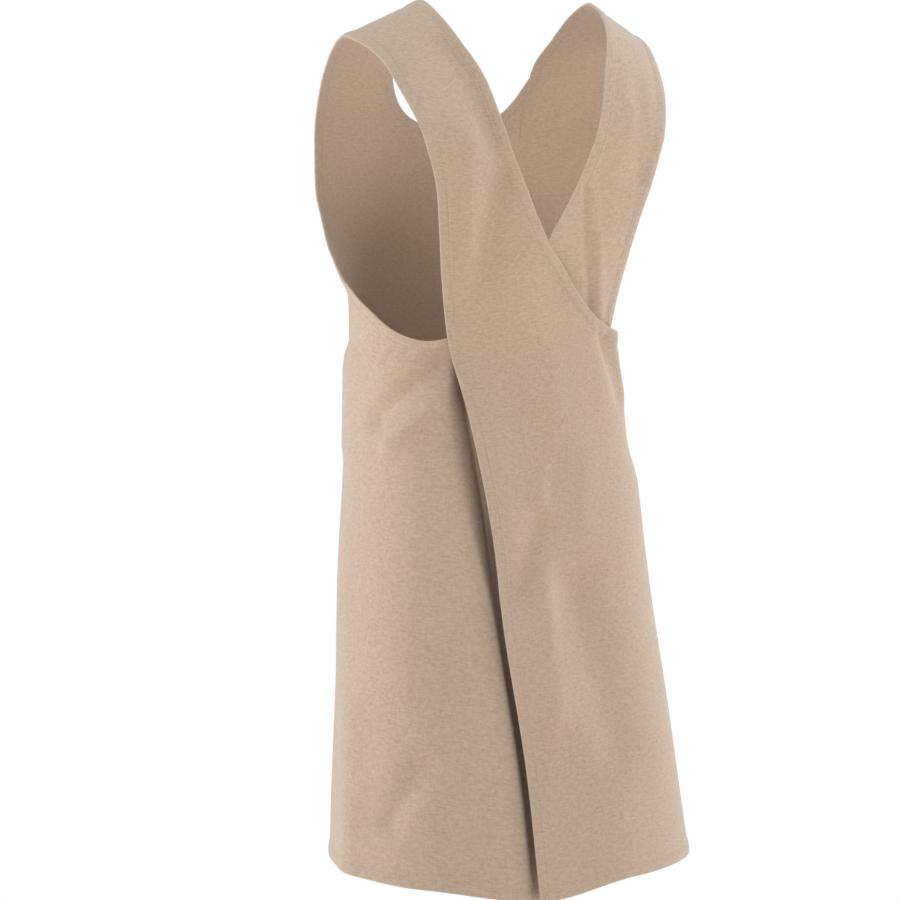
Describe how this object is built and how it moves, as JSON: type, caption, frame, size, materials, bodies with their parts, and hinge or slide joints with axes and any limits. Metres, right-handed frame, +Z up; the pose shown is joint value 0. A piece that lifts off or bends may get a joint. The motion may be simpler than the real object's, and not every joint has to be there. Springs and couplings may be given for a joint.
{
  "type": "cross back apron",
  "caption": "Sleeveless cloth apron with a full bib and wide straps that cross at the back and run into two lapped back panels, shown as worn.",
  "frame": {"origin": "middle of the shoulder line, where the two straps lie on the wearer's shoulders", "axes": "+Z up, +X to the wearer's left, -Y the way the wearer faces; the apron hangs down from the origin"},
  "size_m": [0.3787, 0.3401, 0.8909],
  "materials": {
    "front_cloth": "plain-woven linen-like cloth, matt, oatmeal, with pale slub threads",
    "under_cloth": "plain-woven linen-like cloth, matt, oatmeal, with pale slub threads",
    "over_cloth": "plain-woven linen-like cloth, matt, oatmeal, with pale slub threads"
  },
  "bodies": {
    "root": {"front_panel": "front_cloth", "left_back_panel": "under_cloth", "right_back_panel": "over_cloth"}
  },
  "joints": []
}
